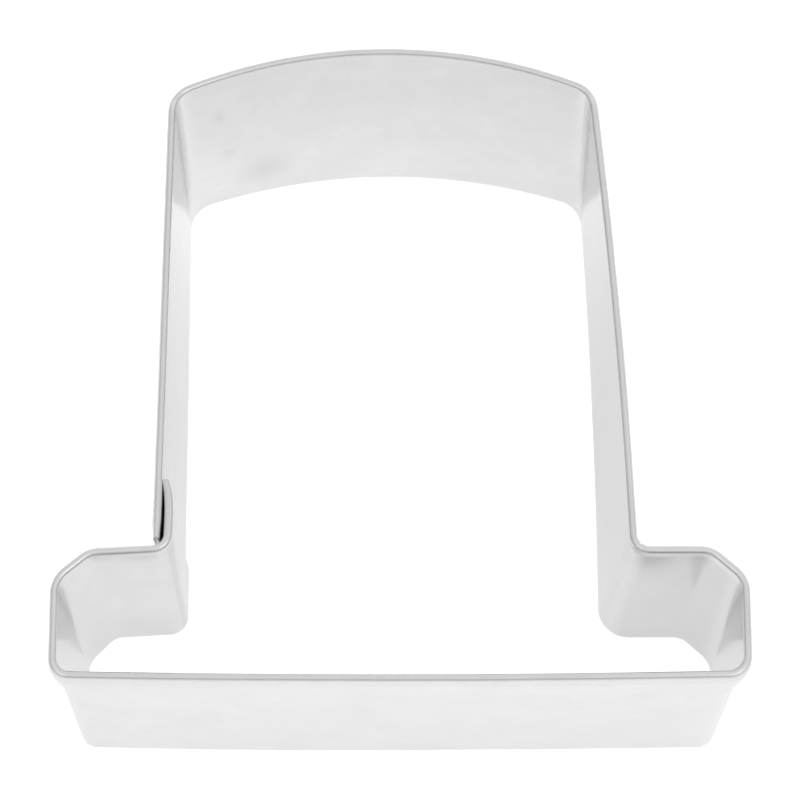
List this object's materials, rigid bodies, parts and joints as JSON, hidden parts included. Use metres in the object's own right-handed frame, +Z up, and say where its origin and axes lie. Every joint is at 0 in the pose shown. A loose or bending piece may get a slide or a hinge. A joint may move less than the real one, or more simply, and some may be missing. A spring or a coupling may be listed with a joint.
{
  "type": "cookie cutter",
  "caption": "Tinned steel cookie cutter shaped as a domed crown on a wide brim, with a folded rim, a lapped and spot-welded seam and an open inside.",
  "frame": {"origin": "centre of the bounding box in plan, on the plane of the cutting edge", "axes": "+Z up from the cutting edge to the hemmed rim, +Y from the straight front wall to the domed crown, +X along the brim with the lap on the -X side"},
  "size_m": [0.0646, 0.0668, 0.0254],
  "materials": {
    "tinplate": "bright tinned, satin",
    "weld_metal": "dull"
  },
  "bodies": {
    "root": {"formed_strip": "tinplate", "spot_weld_lower": "weld_metal", "spot_weld_upper": "weld_metal"}
  },
  "joints": []
}
